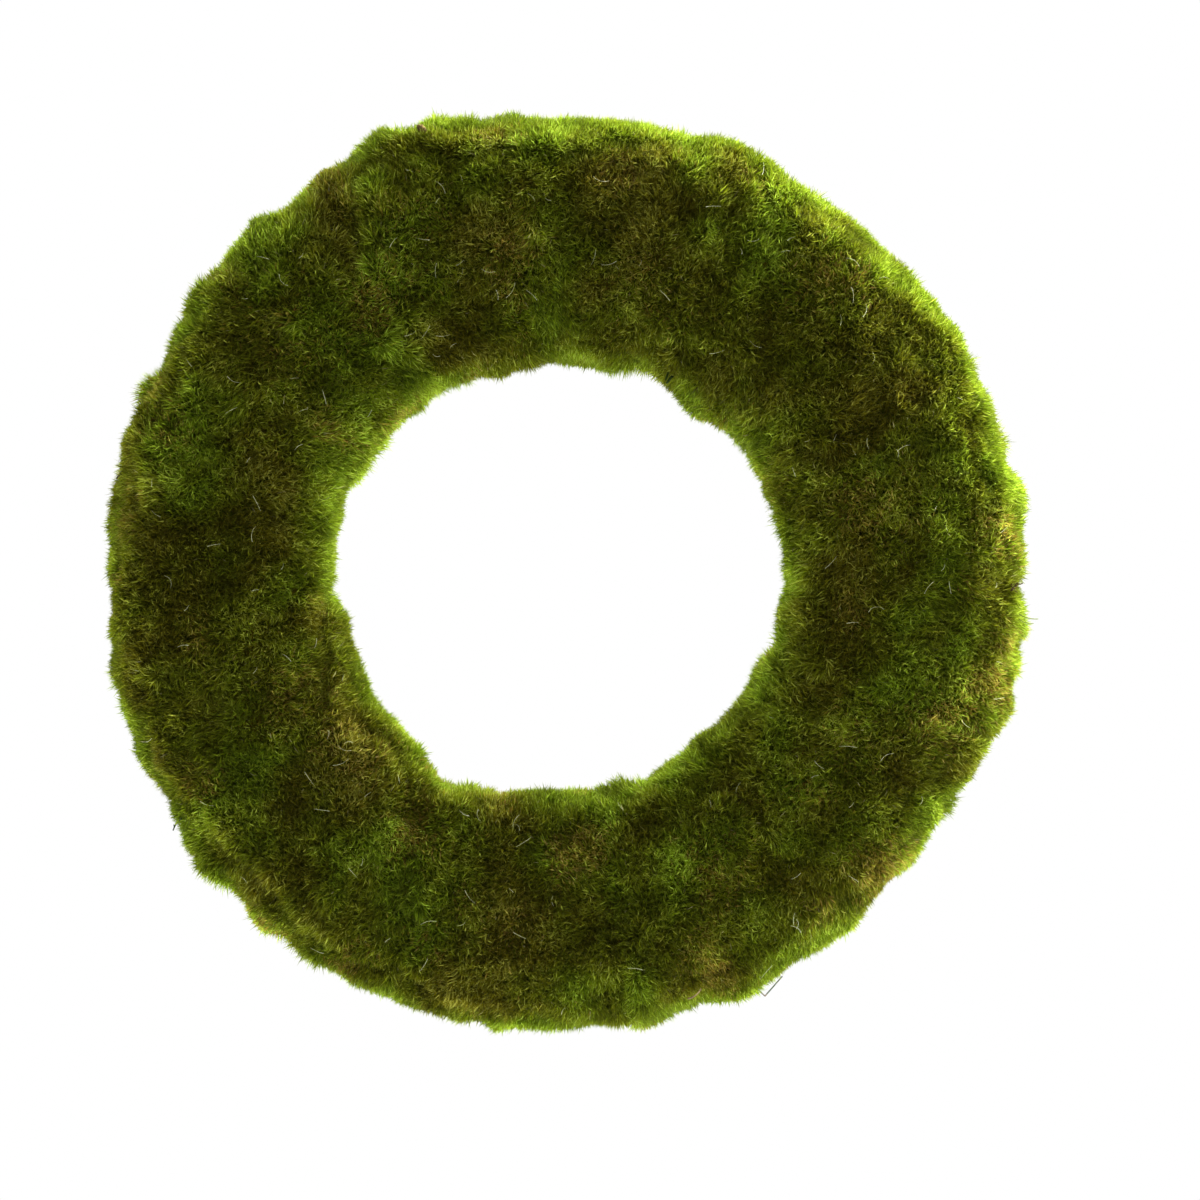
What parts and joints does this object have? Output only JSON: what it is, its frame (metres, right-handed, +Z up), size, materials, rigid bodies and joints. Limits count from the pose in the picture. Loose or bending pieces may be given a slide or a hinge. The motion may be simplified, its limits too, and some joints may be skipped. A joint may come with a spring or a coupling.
{
  "type": "moss wreath",
  "caption": "Round moss-covered wreath on a dished wire ring frame packed with straw, with a wire hanging loop on its back.",
  "frame": {"origin": "centre of the wreath, on the ring's axis and at half of its depth", "axes": "+Y along the wreath's axis, out of its back; the moss face looks towards -Y; +Z up to the hanging loop"},
  "size_m": [0.611, 0.0922, 0.6126],
  "materials": {
    "moss": "deep soft pile of fine upright moss blades, bright at the tips and brown in places",
    "straw": "packed dry straw, satin",
    "frame_wire": "dark green lacquer, semi-gloss",
    "binding_wire": "thin green lacquer, satin",
    "pin_wire": "bare drawn steel wire, slightly dulled",
    "loop_wire": "galvanised drawn wire, dull"
  },
  "bodies": {
    "wreath": {"frame_ring_outer": "frame_wire", "frame_ring_back_outer": "frame_wire", "frame_ring_back_inner": "frame_wire", "frame_ring_inner": "frame_wire", "frame_stay_1": "frame_wire", "frame_stay_2": "frame_wire", "frame_stay_3": "frame_wire", "frame_stay_4": "frame_wire", "frame_stay_5": "frame_wire", "frame_stay_6": "frame_wire", "frame_stay_7": "frame_wire", "frame_stay_8": "frame_wire", "straw_core": "straw", "binding_wire": "binding_wire", "binding_wire_end": "binding_wire", "moss_cushion_1": "moss", "moss_cushion_2": "moss", "moss_cushion_3": "moss", "moss_cushion_4": "moss", "moss_cushion_5": "moss", "moss_cushion_6": "moss", "moss_cushion_7": "moss", "moss_cushion_8": "moss", "moss_cushion_9": "moss", "moss_cushion_10": "moss", "moss_cushion_11": "moss", "moss_cushion_12": "moss", "greening_pins_outer": "pin_wire", "greening_pins_inner": "pin_wire"},
    "hanging_loop": {"hanging_loop": "loop_wire"}
  },
  "joints": [
    {"name": "hanging_loop_swing", "type": "hinge", "parent": "wreath", "child": "hanging_loop", "pos_m": [0, 0.0434, 0.23979], "axis": [1, 0, 0], "range_deg": [0, 160]}
  ]
}
